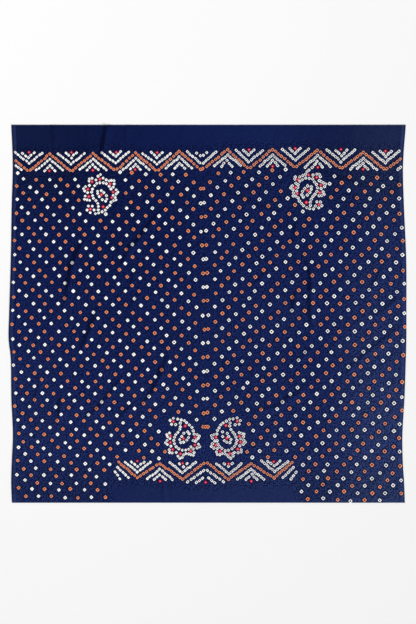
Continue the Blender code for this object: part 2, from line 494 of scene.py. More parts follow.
def tie(x, y, dye, size, spread=SIZE_SPREAD, drawn=0.0):
    """Adds one knot, if it is on the cloth. A crimson one comes out a little larger.

    A knot in a close row is drawn out along it, up to the right (+) or down to the right (-).
    """
    grown = size * (1 + random.uniform(-spread, spread)) * (CRIMSON_GROWTH if dye == CRIMSON else 1)
    grown *= MEAN_GROWTH + SIDE_GROWTH * np.clip(x / TIED_HALF, -1, 1)
    turn = random.uniform(-LEAN, LEAN)
    clear = clearness(x) * (WHITE_CLEARER if dye == WHITE else 1)
    if abs(x) < reach_at(x, y) - KNOT_INSET and abs(y) < END - KNOT_INSET:
        knots.append(Knot(float(x), float(y), dye, float(grown), turn, float(clear), drawn))


field_places = []
for row in range(ROWS):
    for column in range(row % 2, COLUMNS, 2):
        if (column, row) in ((0, 0), (0, BAR_ROW)):
            continue
        shared = random.normal(0, SHARED_SLIP).clip(-SHARED_LIMIT, SHARED_LIMIT)
        for half in HALVES:
            own = random.normal(0, OWN_SLIP).clip(-OWN_LIMIT, OWN_LIMIT)
            x, y = field_place(half, column, row)
            if column == 0:
                own = own * FOLD_OWN
                shared = shared * FOLD_SHARED
            x += half.side * shared[0] + own[0]
            y += shared[1] + own[1]
            dye = ORANGE if (column + row) // 2 % 2 else WHITE
            field_places.append((x, y, dye))
bar_x, bar_y = field_place(HALVES[0], 0, BAR_ROW)
for offset in (0, BAR_STEP, 2 * BAR_STEP):
    field_places.append((bar_x + FOLD_PAIR - BAR_STEP + offset, bar_y, ORANGE))


# ---- The knots of the upper border ---------------------------------------------------
# A zigzag of orange knots from selvedge to selvedge, with white ones in Vs nested in
# every trough and under every peak, and a crimson knot in the crook of most of them.

CHAIN_SIZE = 0.0040
CHAIN_DRAWN = 0.22  # how far a chain's dots run together along it
ARM_SIZE = 0.0037
ARM_DRAWN = 0.38
CREST_SIZE = 0.0042
CROOK_SIZE = 0.0040  # of the crimson ones
SLIP = 0.0006  # how far the knots of a border or paisley stray from their line
BORDER_SPREAD = 0.06

UPPER_PEAK = 0.4320
UPPER_TROUGH = 0.3888
UPPER_TURNS = 9
FIRST_TURN = 0.012
TURN_STEP = 0.1128
NEAR_FOLD_LIFT = {1: 0.0065, 3: 0.0025}  # the peaks nearest the fold stand higher
TURN_SLIP = (0.0018, 0.0008)
CHAIN_PITCH = 0.0104
TROUGH_PAIR = 0.0045  # a trough of the zigzag is a pair of knots, this far from its middle
BOW = 0.0098  # the border was pulled up right of the fold
BOW_MIDDLE = 0.19
BOW_LEFT, BOW_RIGHT = 0.17, 0.28  # how far it was pulled up to either side of that

# The Vs at a turn of the zigzag: how far their point lies from the turn, how far the
# arms reach out and back, and how many knots each arm has
Vee = namedtuple("Vee", "offset reach rise arm_knots")
TROUGH_VEES = (Vee(0.0165, 0.0355, 0.0290, 5), Vee(0.0335, 0.0140, 0.0132, 2))
PEAK_VEES = (Vee(0.0158, 0.0345, 0.0285, 5), Vee(0.0305, 0.0140, 0.0138, 2))
VEE_SLIP = 0.0008
ARM_SPREAD = 0.06  # how unequal a V's arms may be
TROUGH_CRIMSON = 0.0475
PEAK_CRIMSON = 0.0455

# On the fold the trough's Vs are rounded: the long one has two knots at its foot, and a
# shallow row of four fills it
FOLD_FOOT, FOLD_TIP = (0.0048, 0.0165), (0.0380, 0.0455)
FOLD_ARM_KNOTS = 6
FOLD_FILLING = ((0.0045, 0.0365), (0.0140, 0.0440))


def bow(x):
    width = BOW_LEFT if x < BOW_MIDDLE else BOW_RIGHT
    return BOW * math.exp(-(((x - BOW_MIDDLE) / width) ** 2))


def tie_border(x, y, dye, size=CREST_SIZE, drawn=0.0):
    slip = random.normal(0, SLIP, 2)
    tie(x + slip[0], y + slip[1], dye, size, BORDER_SPREAD, drawn)


def tie_line(start, end, count, dye, first=0):
    """Knots evenly along a slanting line, the first and last on its ends."""
    size, drawn = (CHAIN_SIZE, CHAIN_DRAWN) if dye == ORANGE else (ARM_SIZE, ARM_DRAWN)
    drawn = math.copysign(drawn, (end[0] - start[0]) * (end[1] - start[1]))
    for step in range(first, count):
        share = step / (count - 1)
        x = start[0] + (end[0] - start[0]) * share
        y = start[1] + (end[1] - start[1]) * share
        tie_border(x, y, dye, size, drawn)


def tie_vee(x, y, vee, up):
    """A V whose point is near (x, y) and whose arms rise (up 1) or fall (up -1) from it."""
    slip = random.normal(0, VEE_SLIP, 2)
    point = (x + slip[0], y + slip[1])
    tie_border(*point, WHITE)
    for side in (-1, 1):
        reach, rise = (vee.reach, vee.rise) * (1 + random.uniform(-ARM_SPREAD, ARM_SPREAD, 2))
        tip = (point[0] + side * reach, point[1] + up * rise)
        tie_line(point, tip, vee.arm_knots + 1, WHITE, first=1)


def upper_turns(half):
    """Where the turns of the zigzag lie: odd ones are peaks, even ones troughs."""
    for turn in range(UPPER_TURNS + 1):
        level = UPPER_PEAK + NEAR_FOLD_LIFT.get(turn, 0) if turn % 2 else UPPER_TROUGH
        x = across(half, FIRST_TURN + TURN_STEP * turn if turn else 0, level)
        slip = random.normal(0, TURN_SLIP) if turn else (0, 0)
        yield x + slip[0], level + bow(x) + slip[1]


for half in HALVES:
    turns = list(upper_turns(half))
    for turn, (here, beyond) in enumerate(zip(turns, turns[1:])):
        trough, peak = (beyond, here) if turn % 2 else (here, beyond)
        away = half.side if turn % 2 == 0 else -half.side
        foot = (trough[0] + away * TROUGH_PAIR, trough[1])
        count = round(math.dist(foot, peak) / CHAIN_PITCH) + 1
        tie_line(peak, foot, count, ORANGE, first=turn % 2)
    for turn, (x, y) in list(enumerate(turns))[1:]:
        up = -1 if turn % 2 else 1
        for vee in PEAK_VEES if turn % 2 else TROUGH_VEES:
            tie_vee(x, y + up * vee.offset, vee, up)
        if turn > 1:
            beyond = PEAK_CRIMSON if turn % 2 else TROUGH_CRIMSON
            tie_border(x, y + up * beyond, CRIMSON, CROOK_SIZE)

middle = (fold_x(UPPER_TROUGH), UPPER_TROUGH + bow(fold_x(UPPER_TROUGH)))
for side in (-1, 1):
    foot, tip, *filling = [
        (middle[0] + side * out, middle[1] + up) for out, up in (FOLD_FOOT, FOLD_TIP, *FOLD_FILLING)
    ]
    tie_line(foot, tip, FOLD_ARM_KNOTS, WHITE)
    for place in filling:
        tie_border(*place, WHITE)


# ---- The knots of the lower border ---------------------------------------------------
# A shorter zigzag of the same kind between the two lower corners of the field, with
# four turns on each side of the fold and two extra white rows slanting off each end.

LOWER_TURNS = (
    (0.0000, -0.4035), (0.0615, -0.4465), (0.1230, -0.4040), (0.1850, -0.4425), (0.2340, -0.4005)
)
LOWER_LEVEL = -0.42
LOWER_PITCH = 0.0098
MIDDLE_PAIR = 0.005  # the middle peak is a pair of knots, this far from the fold
LOWER_TROUGH_VEES = {
    1: (Vee(0.0165, 0.0330, 0.0275, 5), Vee(0.0345, 0.0105, 0.0075, 1)),
    3: (Vee(0.0155, 0.0340, 0.0275, 5), Vee(0.0315, 0.0165, 0.0120, 2)),
}
LOWER_PEAK_VEES = (Vee(0.0150, 0.0345, 0.0265, 5), Vee(0.0310, 0.0150, 0.0125, 2))
LOWER_CRIMSON = {1: 0.0430, 2: -0.0470, 3: 0.0440}
MIDDLE_CRIMSON = 0.0515

# White rows under the middle peak, and then off the ends of the zigzag, from the fold
WhiteRow = namedtuple("WhiteRow", "start end count")
WHITE_ROWS = (
    WhiteRow((0.0050, -0.4230), (0.0475, -0.4525), 6),
    WhiteRow((0.0080, -0.4435), (0.0245, -0.4555), 3),
    WhiteRow((0.2370, -0.4145), (0.2085, -0.4415), 5),
    WhiteRow((0.2440, -0.4270), (0.2315, -0.4450), 3),
)

lower_fold = fold_x(LOWER_LEVEL)
for side in (-1, 1):
    turns = [(lower_fold + side * out, y) for out, y in LOWER_TURNS]
    for turn, (here, beyond) in enumerate(zip(turns, turns[1:])):
        if turn == 0:
            here = (here[0] + side * MIDDLE_PAIR, here[1])
        count = round(math.dist(here, beyond) / LOWER_PITCH) + 1
        tie_line(here, beyond, count, ORANGE, first=min(turn, 1))
    for turn, (x, y) in enumerate(turns[:-1]):
        up = 1 if turn % 2 else -1
        for vee in LOWER_TROUGH_VEES.get(turn, LOWER_PEAK_VEES if turn else ()):
            tie_vee(x, y + up * vee.offset, vee, up)
        if turn:
            tie_border(x, y + LOWER_CRIMSON[turn], CRIMSON, CROOK_SIZE)
    for row in WHITE_ROWS:
        start, end = [(lower_fold + side * out, y) for out, y in (row.start, row.end)]
        tie_line(start, end, row.count, WHITE)
tie_border(lower_fold, LOWER_TURNS[0][1] - MIDDLE_CRIMSON, CRIMSON, CROOK_SIZE)


# ---- The knots of the paisleys -------------------------------------------------------
# Four paisleys: a pair above the lower border, tails up and outwards, and one below the
# upper border in each half, tails down. White rings and petals round crimson knots.

PAISLEY_SIZE = 0.0041
PAISLEY_CRIMSON = 0.0046
PAISLEY_PITCH = 0.0092

Paisley = namedtuple("Paisley", "x y outward upright tail petals")
LOWER_TAIL, UPPER_TAIL = (-0.0280, 0.0510), (-0.0305, 0.0450)
# Where the petals stand round the body, in degrees
LOWER_PETALS = (157, 185, 220, 260, 308, 342, 378)
UPPER_PETALS = (156, 191, 230, 268, 322, 361, 389)
PAISLEYS = (
    Paisley(-0.0640, -0.3420, 1, 1, LOWER_TAIL, LOWER_PETALS),
    Paisley(0.0520, -0.3415, -1, 1, LOWER_TAIL, LOWER_PETALS),
    Paisley(-0.2860, 0.3280, 1, -1, UPPER_TAIL, UPPER_PETALS),
    Paisley(0.2690, 0.3395, -1, -1, UPPER_TAIL, UPPER_PETALS),
)

BODY_RADIUS = 0.0265
BACK_TOP = 0.0600  # how far from the body's middle the back line ends, over the tail
BACK_TOP_ANGLE = 106
BACK_START = -200  # in degrees, as the angle above
BACK_SWELL = 1.4  # how late the back line leaves the round of the body
NECK = ((-0.0260, 0.0080), (-0.0220, 0.0155), (-0.0150, 0.0240), (-0.0085, 0.0360), (-0.0090, 0.0470))
TAIL_RADIUS = 0.0094
TAIL_KNOTS = 5
NECK_CRIMSON = (0.0030, 0.0390)
EYE = (-0.0012, 0.0063)
# The ring round the eye is a slanting half-moon, flat on the side of the neck
EYE_RING = (0.0000, 0.0095)
EYE_RING_LONG, EYE_RING_BULGE, EYE_RING_FLAT = 0.0180, 0.0108, 0.0062
EYE_RING_TILT = 53
EYE_RING_KNOTS = 11
PETAL_MIDDLE = (-0.0030, -0.0018)  # the petals stand round a point a little off the body's
PETAL_CRIMSON, PETAL_TIP, PETAL_ROOT = 0.0342, 0.0468, 0.0350
PETAL_SIDES = ((0.0425, 7.5), (0.0372, 13.5))  # how far out, and how many degrees to each side
WHITE_ROOM = 0.0056  # a white knot is left out where it would sit on another white one
CRIMSON_ROOM = 0.0056  # or on a crimson one


def evenly_along(line, pitch):
    """Points about pitch apart along a line of close points, with its two ends."""
    steps = np.linalg.norm(np.diff(line, axis=0), axis=1)
    length = np.concatenate([[0], np.cumsum(steps)])
    at = np.linspace(0, length[-1], round(length[-1] / pitch) + 1)
    return np.column_stack([np.interp(at, length, line[:, 0]), np.interp(at, length, line[:, 1])])


def polar(radius, degrees, middle=(0, 0)):
    angle = math.radians(degrees)
    return middle[0] + radius * math.cos(angle), middle[1] + radius * math.sin(angle)


def back_line():
    """From the neck round the body and up the back to the tail."""
    line = []
    for degrees in range(BACK_START, BACK_TOP_ANGLE + 1, 3):
        share = max(0, degrees) / BACK_TOP_ANGLE
        line.append(polar(BODY_RADIUS + (BACK_TOP - BODY_RADIUS) * share**BACK_SWELL, degrees))
    return np.array(line)


def eye_ring():
    tilt = math.radians(EYE_RING_TILT)
    for step in range(EYE_RING_KNOTS):
        angle = math.tau * step / EYE_RING_KNOTS
        beside = math.sin(angle) * (EYE_RING_FLAT if math.sin(angle) > 0 else EYE_RING_BULGE)
        along = EYE_RING_LONG * math.cos(angle)
        x = EYE_RING[0] + along * math.cos(tilt) - beside * math.sin(tilt)
        y = EYE_RING[1] + along * math.sin(tilt) + beside * math.cos(tilt)
        yield x, y


def paisley_places(paisley):
    """Each knot's place from the middle of the body, and its dye."""
    back = evenly_along(back_line(), PAISLEY_PITCH)
    neck = evenly_along(smooth_line(NECK), PAISLEY_PITCH)[1:]
    tail = [polar(TAIL_RADIUS, 90 + 360 / TAIL_KNOTS * step, paisley.tail) for step in range(TAIL_KNOTS)]
    for place in (*back, *neck, *tail, *eye_ring()):
        yield (*place, WHITE)
    for place in (paisley.tail, NECK_CRIMSON, EYE):
        yield (*place, CRIMSON)
    for degrees, beyond in zip(paisley.petals, paisley.petals[1:]):
        yield (*polar(PETAL_ROOT, (degrees + beyond) / 2, PETAL_MIDDLE), WHITE)
    for degrees in paisley.petals:
        yield (*polar(PETAL_CRIMSON, degrees, PETAL_MIDDLE), CRIMSON)
        yield (*polar(PETAL_TIP, degrees, PETAL_MIDDLE), WHITE)
        for radius, spread in PETAL_SIDES:
            for side in (-1, 1):
                yield (*polar(radius, degrees + side * spread, PETAL_MIDDLE), WHITE)


def room_for(place, taken):
    if place[2] == CRIMSON:
        return True
    rooms = [CRIMSON_ROOM if other[2] == CRIMSON else WHITE_ROOM for other in taken]
    return all(math.dist(place[:2], other[:2]) > room for other, room in zip(taken, rooms))


for paisley in PAISLEYS:
    taken = []
    for x, y, dye in sorted(paisley_places(paisley), key=lambda place: place[2] != CRIMSON):
        slip = random.normal(0, SLIP, 2)
        laid_x = paisley.x + paisley.outward * x + slip[0]
        laid_y = paisley.y + paisley.upright * y + slip[1]
        if room_for((laid_x, laid_y, dye), taken):
            taken.append((laid_x, laid_y, dye))
            tie(laid_x, laid_y, dye, PAISLEY_CRIMSON if dye == CRIMSON else PAISLEY_SIZE)

# The field's knots were left out wherever one of the motifs is
BODY_CLEARANCE = 0.0525
TAIL_CLEARANCE = 0.0290
MOTIF_CLEARANCE = 0.0105
BORDER_HALF, BORDER_TOP = 0.258, -0.393  # the lower border, measured from the fold
PAIR_HALF, PAIR_TOP = 0.060, -0.320  # and the place between the lower paisleys


def in_the_field(x, y, motifs):
    for paisley in PAISLEYS:
        tail_x = paisley.x + paisley.outward * paisley.tail[0]
        tail_y = paisley.y + paisley.upright * paisley.tail[1]
        if math.dist((x, y), (paisley.x, paisley.y)) < BODY_CLEARANCE:
            return False
        if math.dist((x, y), (tail_x, tail_y)) < TAIL_CLEARANCE:
            return False
    for half_width, top in ((BORDER_HALF, BORDER_TOP), (PAIR_HALF, PAIR_TOP)):
        if abs(x - lower_fold) < half_width and y < top:
            return False
    return motifs.find((x, y, 0))[2] > MOTIF_CLEARANCE


def indexed(places):
    """An index of flat places, to find the nearest one in."""
    tree = kdtree.KDTree(len(places))
    for index, (x, y) in enumerate(places):
        tree.insert((x, y, 0), index)
    tree.balance()
    return tree


motifs = indexed([(knot.x, knot.y) for knot in knots])
for x, y, dye in field_places:
    if in_the_field(x, y, motifs):
        tie(x, y, dye, FIELD_SIZE)


# ---- The sheet -----------------------------------------------------------------------
# The cotton itself, one closed thin sheet. Its points are set in rings round every knot,
# in rows along the ridges and loosely between, and Geometry Nodes raise the small pucker
# that each binding thread left and mark every face with the knot that it belongs to.

CLOTH_THICKNESS = 0.0008
RIM_STEP = 0.005
RIM_CLEARANCE = 0.0022
MIDDLE_GAP = 0.0005  # between the middles of two knots, at least
GROUND_STRAY = 0.25  # how far a loose point strays, as a share of their step

KnotRing = namedtuple("KnotRing", "radius points phase")
FACE_RINGS = (KnotRing(0.0021, 5, 0.0), KnotRing(0.0047, 8, 0.0), KnotRing(0.0080, 9, 0.2))
BACK_RINGS = (KnotRing(0.0072, 6, 0.0),)

# Rows along a ridge, and the loose points of the ground
Filling = namedtuple("Filling", "rows station gap ground_step ground_gap seed")
FACE_ROWS = (-1, -0.75, -0.5, -0.25, 0, 0.15, 0.35, 0.65, 1)  # from the steep foot to the gentle one
BACK_ROWS = (-1, -0.5, 0, 0.45, 1)
FACE_FILLING = Filling(FACE_ROWS, 0.005, 0.0018, 0.0068, 0.0036, 5)
BACK_FILLING = Filling(BACK_ROWS, 0.012, 0.0036, 0.0150, 0.0060, 6)
EDGE_COLUMNS = (0.0035, 0.0075, 0.0110, 0.0150, 0.0200, 0.0250)
CELL = 0.008  # of the index that keeps points apart, and no less than any gap
TOUCHING = 1e-6  # places this near are the same


def rim_points():
    """The straight-sided cloth's edge, once round anticlockwise."""
    wide = np.linspace(-HALF_WIDTH, HALF_WIDTH, round(2 * HALF_WIDTH / RIM_STEP) + 1)
    tall = np.linspace(-END, END, round(2 * END / RIM_STEP) + 1)
    near = [(x, -END) for x in wide[:-1]]
    right = [(HALF_WIDTH, y) for y in tall[:-1]]
    far = [(x, END) for x in wide[:0:-1]]
    left = [(-HALF_WIDTH, y) for y in tall[:0:-1]]
    return near + right + far + left


def ridge_rows(ridge, filling):
    """Rows of points along a ridge, from foot to foot."""
    line, gentle_side = ridge_line(ridge)
    length = np.linalg.norm(np.diff(line, axis=0), axis=1).sum()
    stations = np.linspace(0, 1, max(3, round(length / filling.station)))
    at = np.round(stations * (len(line) - 1)).astype(int)
    rows = []
    for across in filling.rows:
        from_path = PATH_DOWN * ridge.steep + across * (ridge.steep if across < 0 else ridge.gentle)
        rows.append(line[at] + (from_path * narrowed(stations))[:, None] * gentle_side[at])
    return np.vstack(rows)


def cell_of(x, y):
    return int(x // CELL), int(y // CELL)


def keep_apart(candidates, gap, kept, cells):
    """Adds to kept the candidates that lie on the cloth and at least gap from all there."""
    for x, y in candidates:
        if abs(x) > HALF_WIDTH - RIM_CLEARANCE or abs(y) > END - RIM_CLEARANCE:
            continue
        column, row = cell_of(x, y)
        around = [(column + i, row + j) for i in (-1, 0, 1) for j in (-1, 0, 1)]
        near = [spot for cell in around for spot in cells.get(cell, ())]
        if all((x - a) ** 2 + (y - b) ** 2 >= gap**2 for a, b in near):
            cells.setdefault((column, row), []).append((x, y))
            kept.append((x, y))


def spots_round_knots(ring, middles, tree):
    """A ring of spots round every knot, but for those that are nearer another knot."""
    angles = ring.phase + np.arange(ring.points) / ring.points * math.tau
    offsets = ring.radius * np.column_stack([np.cos(angles), np.sin(angles)])
    spots = (middles[:, None, :] + offsets).reshape(-1, 2)
    owners = np.repeat(np.arange(len(knots)), ring.points)
    own = [tree.find((x, y, 0))[1] == owner for (x, y), owner in zip(spots, owners)]
    return spots[own]


def sheet_points(rings, filling):
    """The points of one side, on the straight-sided cloth, the rim's first."""
    loose = np.random.default_rng(filling.seed)
    kept = rim_points()
    cells = {}
    for x, y in kept:
        cells.setdefault(cell_of(x, y), []).append((x, y))
    middles = np.array([(knot.x, knot.y) for knot in knots])
    keep_apart(straightened(middles), MIDDLE_GAP, kept, cells)
    tree = indexed(middles)
    for ring in rings:
        spots = spots_round_knots(ring, middles, tree)
        keep_apart(straightened(spots), min(filling.gap, ring.radius / 2), kept, cells)
    for side in (-1, 1):
        for inset in EDGE_COLUMNS:
            y = np.arange(-END, END, filling.station)
            column = np.column_stack([np.full(len(y), side * (HALF_WIDTH - inset)), y])
            keep_apart(column, filling.gap, kept, cells)
    for ridge in RIDGES:
        keep_apart(straightened(ridge_rows(ridge, filling)), filling.gap, kept, cells)
    x = np.arange(-HALF_WIDTH, HALF_WIDTH, filling.ground_step)
    y = np.arange(-END, END, filling.ground_step)
    ground = np.stack(np.meshgrid(x, y), axis=-1).reshape(-1, 2)
    ground += loose.uniform(-GROUND_STRAY, GROUND_STRAY, ground.shape) * filling.ground_step
    keep_apart(ground, filling.ground_gap, kept, cells)
    return kept


def triangles(points):
    """The faces between the points, wound anticlockwise seen from above."""
    corners, _, faces, *_ = delaunay_2d_cdt([Vector(point) for point in points], [], [], 0, TOUCHING)
    assert len(corners) == len(points)
    return faces


def mark_points(mesh, name, values):
    """Gives every point of a mesh a number."""
    attribute = mesh.attributes.new(name, "FLOAT", "POINT")
    attribute.data.foreach_set("value", np.asarray(values, np.float32))


def make_sheet():
    """The sheet's mesh, its points before they were laid out, and where the back's start."""
    face_flat = sheet_points(FACE_RINGS, FACE_FILLING)
    back_flat = sheet_points(BACK_RINGS, BACK_FILLING)
    rim = len(rim_points())
    flat = np.array(face_flat + back_flat)
    laid = laid_out(flat)
    height = laid_height(laid)
    height[: len(face_flat)] += CLOTH_THICKNESS
    under = len(face_flat)
    faces = list(triangles(face_flat))
    faces += [[under + corner for corner in reversed(face)] for face in triangles(back_flat)]
    faces += [(step, under + step, under + (step + 1) % rim, (step + 1) % rim) for step in range(rim)]
    mesh = bpy.data.meshes.new("bandhani_cloth_laid")
    mesh.from_pydata(np.column_stack([laid, height]).tolist(), [], faces)
    on_face = np.zeros(len(flat))
    on_face[rim:under] = 1
    mark_points(mesh, "on_face", on_face)
    mark_points(mesh, "from_selvedge", HALF_WIDTH - np.abs(flat[:, 0]))
    return mesh, flat, under


BAKE_FACE_SHARE = 0.80  # of the bake map's height
BAKE_RIM = 0.006  # how far the rim's strip stands out round the face, on the map


def lay_bake_map(mesh, flat, under):
    """Face and back each lie flat on the map, the rim as a strip round the face."""
    corners = np.empty(len(mesh.loops), np.int32)
    mesh.loops.foreach_get("vertex_index", corners)
    starts = np.empty(len(mesh.polygons), np.int32)
    totals = np.empty(len(mesh.polygons), np.int32)
    mesh.polygons.foreach_get("loop_start", starts)
    mesh.polygons.foreach_get("loop_total", totals)
    below = np.add.reduceat((corners >= under).astype(int), starts)
    on_back = np.repeat(below == totals, totals)
    on_rim = np.repeat((below > 0) & (below < totals), totals)
    half_size = np.array([HALF_WIDTH, END])
    place = flat[corners]
    at_edge = np.abs(place) > half_size - TOUCHING
    stands_out = (on_rim & (corners >= under))[:, None] * at_edge * np.sign(place) * BAKE_RIM
    share = ((place + stands_out) / (half_size + 2 * BAKE_RIM) + 1) / 2
    on_back_part = BAKE_FACE_SHARE + share[:, 1] * (1 - BAKE_FACE_SHARE)
    share[:, 1] = np.where(on_back, on_back_part, share[:, 1] * BAKE_FACE_SHARE)
    mesh.uv_layers.new(name="OFBake").data.foreach_set("uv", share.astype(np.float32).ravel())


def knot_cloud():
    """The knots as loose points, with what the dye needs to know of each."""
    mesh = bpy.data.meshes.new("knot_cloud")
    mesh.from_pydata([(knot.x, knot.y, 0) for knot in knots], [], [])
    for name in KNOT_MARKS:
        mark_points(mesh, name, [getattr(knot, name) for knot in knots])
    cloud = bpy.data.objects.new("knot_cloud", mesh)
    bpy.context.scene.collection.objects.link(cloud)
    return cloud


def add_node(tree, kind, inputs=(), **settings):
    """A node with its settings, its inputs given numbers, colours or links, by name or order."""
    node = tree.nodes.new(kind)
    for name, value in settings.items():
        setattr(node, name, value)
    for name, value in dict(inputs).items():
        if isinstance(value, bpy.types.NodeSocket):
            tree.links.new(value, node.inputs[name])
        else:
            node.inputs[name].default_value = value
    return node


def math_node(tree, operation, *values):
    """A Math node on numbers or sockets, as its output socket."""
    node = add_node(tree, "ShaderNodeMath", enumerate(values), operation=operation)
    return node.outputs["Value"]


def vector_node(tree, operation, *values):
    """A Vector Math node on vectors or sockets, as its output socket."""
    node = add_node(tree, "ShaderNodeVectorMath", enumerate(values), operation=operation)
    return node.outputs["Value" if operation == "DISTANCE" else "Vector"]


def smooth_range(tree, value, low_edge, high_edge):
    """0 at low_edge and 1 at high_edge, smoothly, whichever of them is the larger."""
    inputs = {"Value": value, "From Min": low_edge, "From Max": high_edge}
    node = add_node(tree, "ShaderNodeMapRange", inputs, interpolation_type="SMOOTHSTEP")
    return node.outputs["Result"]


TIED_KNOTS_INPUTS = {
    "Cloth": "NodeSocketGeometry",
    "Knots": "NodeSocketObject",
    "Pucker Height": "NodeSocketFloat",
    "Foot Radius": "NodeSocketFloat",
    "Tip Radius": "NodeSocketFloat",
    "Cotton": "NodeSocketMaterial",
}


def tied_knots_tree():
    """Raises a pucker at the nearest knot and writes that knot on every face."""
    tree = bpy.data.node_groups.new("tied_knots", "GeometryNodeTree")
    for label, kind in TIED_KNOTS_INPUTS.items():
        tree.interface.new_socket(label, in_out="INPUT", socket_type=kind)
    tree.interface.new_socket("Cloth", in_out="OUTPUT", socket_type="NodeSocketGeometry")
    given = add_node(tree, "NodeGroupInput").outputs
    cloud_inputs = {"Object": given["Knots"]}
    cloud = add_node(tree, "GeometryNodeObjectInfo", cloud_inputs, transform_space="RELATIVE")
    cloud = cloud.outputs["Geometry"]
    place = add_node(tree, "GeometryNodeInputPosition").outputs["Position"]
    flat = vector_node(tree, "MULTIPLY", place, (1, 1, 0))
    nearest_inputs = {"Geometry": cloud, "Sample Position": flat}
    nearest = add_node(tree, "GeometryNodeSampleNearest", nearest_inputs, domain="POINT").outputs["Index"]

    def of_nearest(kind, value):
        inputs = {"Geometry": cloud, "Value": value, "Index": nearest}
        sample = add_node(tree, "GeometryNodeSampleIndex", inputs, data_type=kind, domain="POINT")
        return sample.outputs["Value"]

    def named(name):
        attribute = add_node(tree, "GeometryNodeInputNamedAttribute", {"Name": name}, data_type="FLOAT")
        return attribute.outputs["Attribute"]

    centre = of_nearest("FLOAT_VECTOR", place)
    apart = vector_node(tree, "DISTANCE", flat, centre)
    slope = smooth_range(tree, apart, given["Foot Radius"], given["Tip Radius"])
    raised = math_node(tree, "MULTIPLY", slope, given["Pucker Height"])
    on_face = math_node(tree, "MULTIPLY", raised, named("on_face"))
    lift = add_node(tree, "ShaderNodeCombineXYZ", {"Z": on_face}).outputs["Vector"]
    puckered = add_node(tree, "GeometryNodeSetPosition", {"Geometry": given["Cloth"], "Offset": lift})
    cloth = puckered.outputs["Geometry"]

    marks = [("knot_centre", "FLOAT_VECTOR", centre)]
    marks += [("knot_" + name, "FLOAT", of_nearest("FLOAT", named(name))) for name in KNOT_MARKS]
    for name, kind, value in marks:
        inputs = {"Geometry": cloth, "Name": name, "Value": value}
        store = add_node(tree, "GeometryNodeStoreNamedAttribute", inputs, data_type=kind, domain="FACE")
        cloth = store.outputs["Geometry"]
    realized = add_node(tree, "GeometryNodeRealizeInstances", {"Geometry": cloth}).outputs["Geometry"]
    dressed_inputs = {"Geometry": realized, "Material": given["Cotton"]}
    dressed = add_node(tree, "GeometryNodeSetMaterial", dressed_inputs).outputs["Geometry"]
    add_node(tree, "NodeGroupOutput", {"Cloth": dressed})
    return tree


def with_nodes(mesh, name, tree, values):
    """A plain object made by running a Geometry Nodes tree on a mesh."""
    piece = bpy.data.objects.new(name, mesh)
    bpy.context.scene.collection.objects.link(piece)
    modifier = piece.modifiers.new(tree.name, "NODES")
    modifier.node_group = tree
    for item in tree.interface.items_tree:
        if item.in_out == "INPUT" and item.name in values:
            modifier[item.identifier] = values[item.name]
    depsgraph = bpy.context.evaluated_depsgraph_get()
    made = bpy.data.meshes.new_from_object(
        piece.evaluated_get(depsgraph), preserve_all_data_layers=True, depsgraph=depsgraph
    )
    piece.modifiers.clear()
    piece.data = made
    return piece


# ---- The cotton and its dyes ---------------------------------------------------------
# Fine plain-woven cotton, dipped in deep navy last. The dye stops at the thread of each
# knot with a soft, slightly ragged edge, and gathers in a darker line there. The ground
# varies a little at random over the cloth, and a painted sheen makes it paler towards the
# lower right.

# The ground's navy from deepest to palest; the palest is a painted sheen from the low light
NAVY_DEEP = (0.0028, 0.0084, 0.0655, 1)
NAVY = (0.0063, 0.0147, 0.0900, 1)
NAVY_IN_SHEEN = (0.0205, 0.0370, 0.1370, 1)
NAVY_GATHERED = (0.0010, 0.0034, 0.0300, 1)
SELVEDGE_NAVY = (0.0300, 0.0500, 0.1700, 1)
COTTON_WHITE = (0.968, 0.975, 0.975, 1)
# The second white is the dots' white in the painted sheen towards the lower right
COTTON_WHITE_IN_SHEEN = (0.985, 0.990, 0.995, 1)
ORANGE_RIM = (0.850, 0.490, 0.330, 1)
ORANGE_DYE = (0.720, 0.096, 0.006, 1)
CRIMSON_DYE = (0.520, 0.008, 0.036, 1)
CRIMSON_HEART = (0.920, 0.210, 0.240, 1)
WHITE_CORE = (0.016, 0.021, 0.060, 1)
ORANGE_CORE = (0.080, 0.019, 0.028, 1)
# The ground's colour is multiplied by these: on the two plain ends, and as painted shade where
# it lies low in the crinkle and painted sheen on its crests
DULL_TONE = (0.96, 0.87, 0.69, 1)
SHADED_TONE = (0.00, 0.22, 0.42, 1)
SHEEN_TONE = (2.20, 1.90, 1.62, 1)

COTTON_FINISH = {
    "Roughness": 0.78, "Specular IOR Level": 0.03, "Sheen Weight": 0.02, "Sheen Roughness": 0.45
}

# A smooth noise: its spots to the metre, and how fine and how strong its detail is
Noise = namedtuple("Noise", "scale detail roughness", defaults=(2.0, 0.5))

RAGGED, RAGGED_REACH = Noise(420.0, 3.0, 0.6), 0.0018  # of a dot's edge
DOT_POWER = 1.22  # 1 would make it a diamond with straight sides, and 2 a circle
# The parts of a dot: where each begins and is full, from its middle (0) to its edge (1)
DOT_EDGE = (1.07, 0.91)
DYED_EDGE = (0.97, 0.56)
HEART_EDGE = (0.66, 0.16)
MIDDLE_EDGE = (0.28, 0.17)
MIDDLE_GROWTH = 0.26  # how much wider a clear dot's dark middle is
LINE_EDGE = (2.10, 1.15)
CREASES = 9.0  # that run out from a dot
CREASE_OUTER, CREASE_INNER = (2.4, 1.2), (0.5, 1.1)
GATHERED = 0.9  # how far the line round a dot turns to the gathered navy

THREAD = 0.00036
THREAD_WANDER, WANDER_REACH = Noise(160.0), 0.0008
SLUB = Noise(900.0)
THREAD_TAKE = 0.35  # how much more dye the top of a thread took
WEAVE_SHADE = (0.16, 0.90)  # how strongly that shows, and what it is added to

